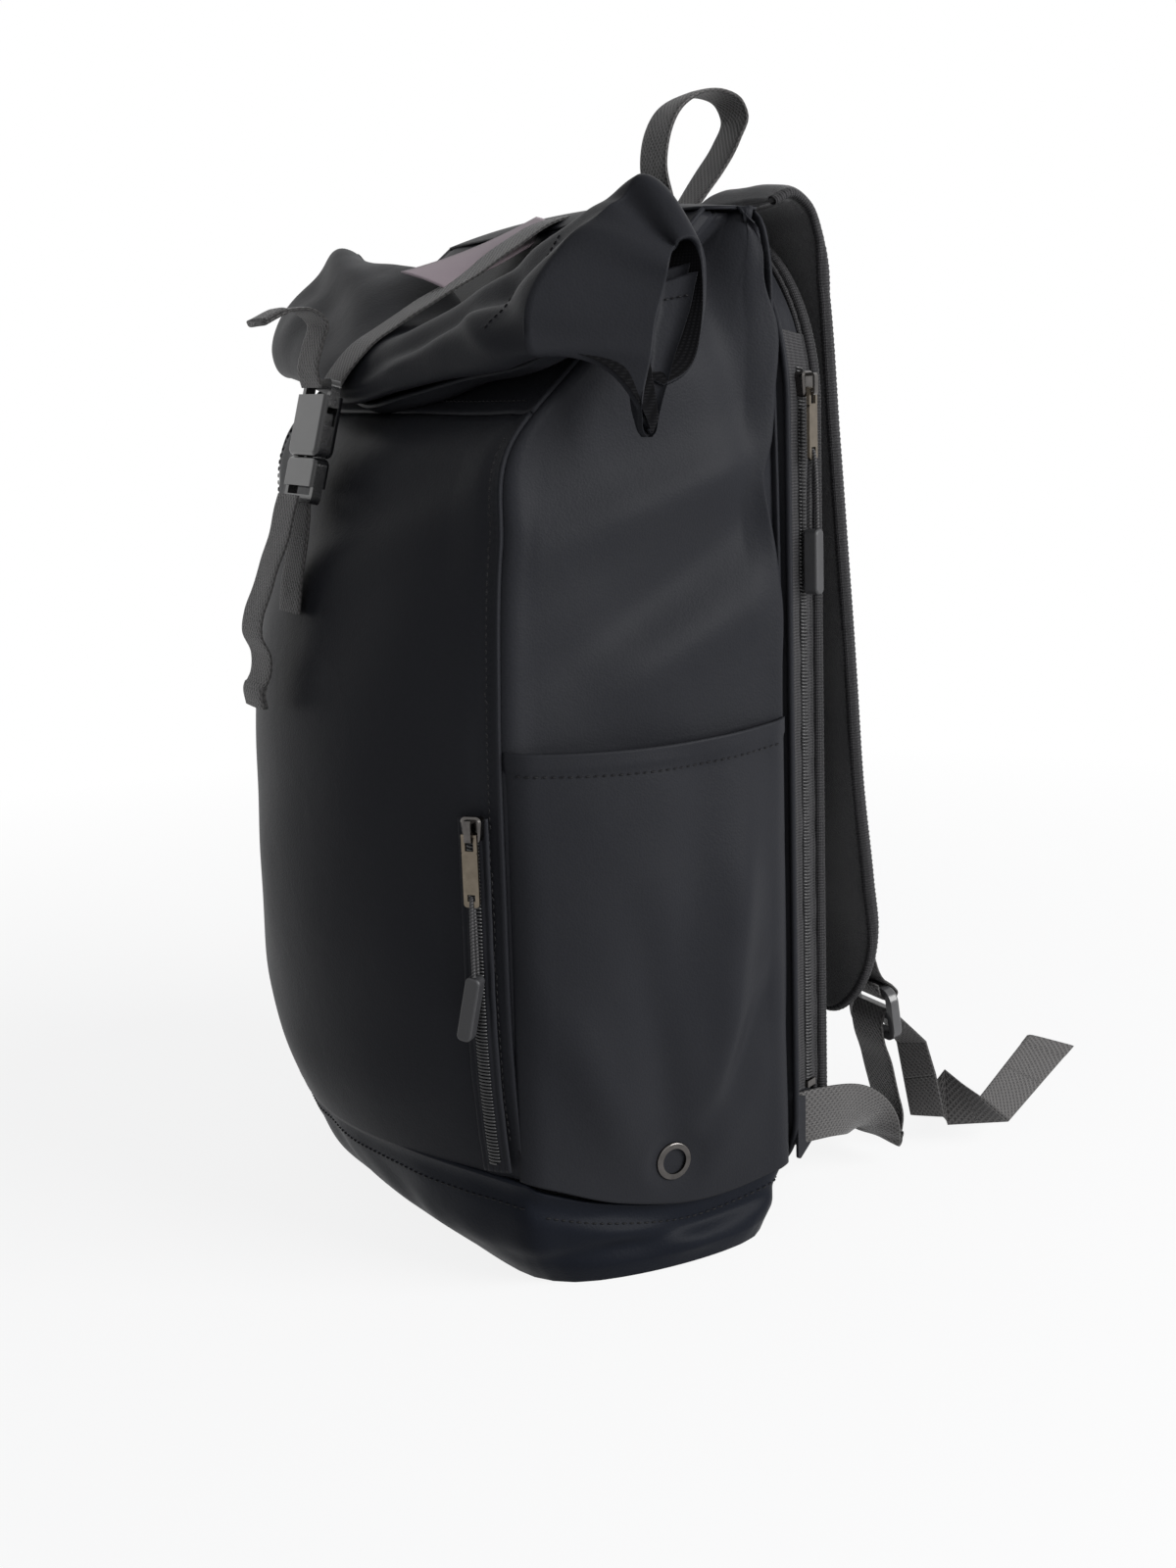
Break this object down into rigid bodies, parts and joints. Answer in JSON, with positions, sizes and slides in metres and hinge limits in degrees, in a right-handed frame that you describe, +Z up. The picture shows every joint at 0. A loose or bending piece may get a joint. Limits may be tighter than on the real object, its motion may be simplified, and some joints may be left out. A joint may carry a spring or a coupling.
{
  "type": "roll-top backpack",
  "caption": "Roll-top backpack in black coated fabric, with side pockets, a long side zip, a buckled closing strap, padded shoulder straps and a loop handle.",
  "frame": {"origin": "centre of the flat face of the base that the bag stands on", "axes": "+Z up from the base to the rolled mouth, -Y out of the front panel, +Y out of the back that is worn, +X to the side with the long zip"},
  "size_m": [0.334, 0.4064, 0.5123],
  "materials": {
    "black_coated_fabric": "matte",
    "lining_fabric": "matte",
    "air_mesh": "matte",
    "edge_tape": "matte",
    "black_webbing": "matte",
    "strap_textile": "matte",
    "zip_coil": "satin",
    "dark_metal": "satin",
    "pull_cord": "matte",
    "grip_rubber": "satin",
    "buckle_plastic": "satin",
    "tag_card": "matte"
  },
  "bodies": {
    "bag": {"front_panel": "black_coated_fabric", "yoke_panel": "black_coated_fabric", "side_panel_right": "black_coated_fabric", "side_panel_left": "black_coated_fabric", "rear_wall": "black_coated_fabric", "neck_cover": "black_coated_fabric", "base_panel": "black_coated_fabric", "side_pocket_right": "black_coated_fabric", "side_pocket_left": "black_coated_fabric", "laptop_gusset": "black_coated_fabric", "back_panel": "black_coated_fabric", "back_band": "black_coated_fabric", "roll_top": "black_coated_fabric", "mouth_fold": "black_coated_fabric", "anchor_tab_right": "black_coated_fabric", "anchor_tab_left": "black_coated_fabric", "main_lining": "lining_fabric", "divider_board": "lining_fabric", "back_mesh": "air_mesh", "rear_binding": "edge_tape", "side_zip_tape": "edge_tape", "front_zip_tape": "edge_tape", "upper_strap": "black_webbing", "lower_strap": "black_webbing", "side_zip_coil": "zip_coil", "front_zip_coil": "zip_coil", "side_zip_stop": "dark_metal", "pocket_eyelet_right": "dark_metal", "pocket_eyelet_left": "dark_metal", "buckle_female": "buckle_plastic", "hang_tag": "tag_card"},
    "side_slider": {"side_zip_slider": "dark_metal"},
    "side_pull": {"side_zip_pull": "dark_metal"},
    "side_cord": {"side_zip_cord": "pull_cord", "side_zip_grip": "grip_rubber"},
    "front_slider": {"front_zip_slider": "dark_metal"},
    "front_pull": {"front_zip_pull": "dark_metal"},
    "front_cord": {"front_zip_cord": "pull_cord", "front_zip_grip": "grip_rubber"},
    "handle": {"haul_handle": "black_webbing"},
    "plug": {"buckle_male": "buckle_plastic", "closing_tail": "black_webbing"},
    "strap_right": {"shoulder_strap_right": "strap_textile", "lock_tab_right": "black_webbing", "ladder_lock_right": "buckle_plastic", "lower_webbing_right": "black_webbing", "webbing_tail_right": "black_webbing"},
    "strap_left": {"shoulder_strap_left": "strap_textile", "lock_tab_left": "black_webbing", "ladder_lock_left": "buckle_plastic", "lower_webbing_left": "black_webbing", "webbing_tail_left": "black_webbing"}
  },
  "joints": [
    {"name": "side_zip_slide", "type": "slide", "parent": "bag", "child": "side_slider", "axis": [0, 0, -1], "range_m": [0, 0.285]},
    {"name": "side_pull_hinge", "type": "hinge", "parent": "side_slider", "child": "side_pull", "pos_m": [0.12896, 0.0896, 0.3765], "axis": [0.4361, -0.8999, 0], "range_deg": [0, 140]},
    {"name": "side_cord_hinge", "type": "hinge", "parent": "side_pull", "child": "side_cord", "pos_m": [0.12896, 0.0896, 0.3509], "axis": [0.4361, -0.8999, 0], "range_deg": [0, 40], "deforming": ["side_zip_cord"]},
    {"name": "front_zip_slide", "type": "slide", "parent": "bag", "child": "front_slider", "axis": [0, 0, -1], "range_m": [0, 0.115]},
    {"name": "front_pull_hinge", "type": "hinge", "parent": "front_slider", "child": "front_pull", "pos_m": [0.12633, -0.07717, 0.206], "axis": [-0.7431, -0.6691, 0], "range_deg": [0, 140]},
    {"name": "front_cord_hinge", "type": "hinge", "parent": "front_pull", "child": "front_cord", "pos_m": [0.12633, -0.07717, 0.1804], "axis": [-0.7431, -0.6691, 0], "range_deg": [0, 40], "deforming": ["front_zip_cord"]},
    {"name": "handle_hinge", "type": "hinge", "parent": "bag", "child": "handle", "pos_m": [0, 0.099, 0.4521], "axis": [1, 0, 0], "range_deg": [-45, 55]},
    {"name": "buckle_release", "type": "slide", "parent": "bag", "child": "plug", "axis": [0, -0.2588, -0.9659], "range_m": [0, 0.024], "deforming": ["lower_strap"]},
    {"name": "strap_right_hinge", "type": "hinge", "parent": "bag", "child": "strap_right", "pos_m": [0.071, 0.088, 0.45], "axis": [1, 0, 0], "range_deg": [0, 9], "deforming": ["lower_webbing_right"]},
    {"name": "strap_left_hinge", "type": "hinge", "parent": "bag", "child": "strap_left", "pos_m": [-0.071, 0.088, 0.45], "axis": [1, 0, 0], "range_deg": [0, 9], "deforming": ["lower_webbing_left"]}
  ]
}
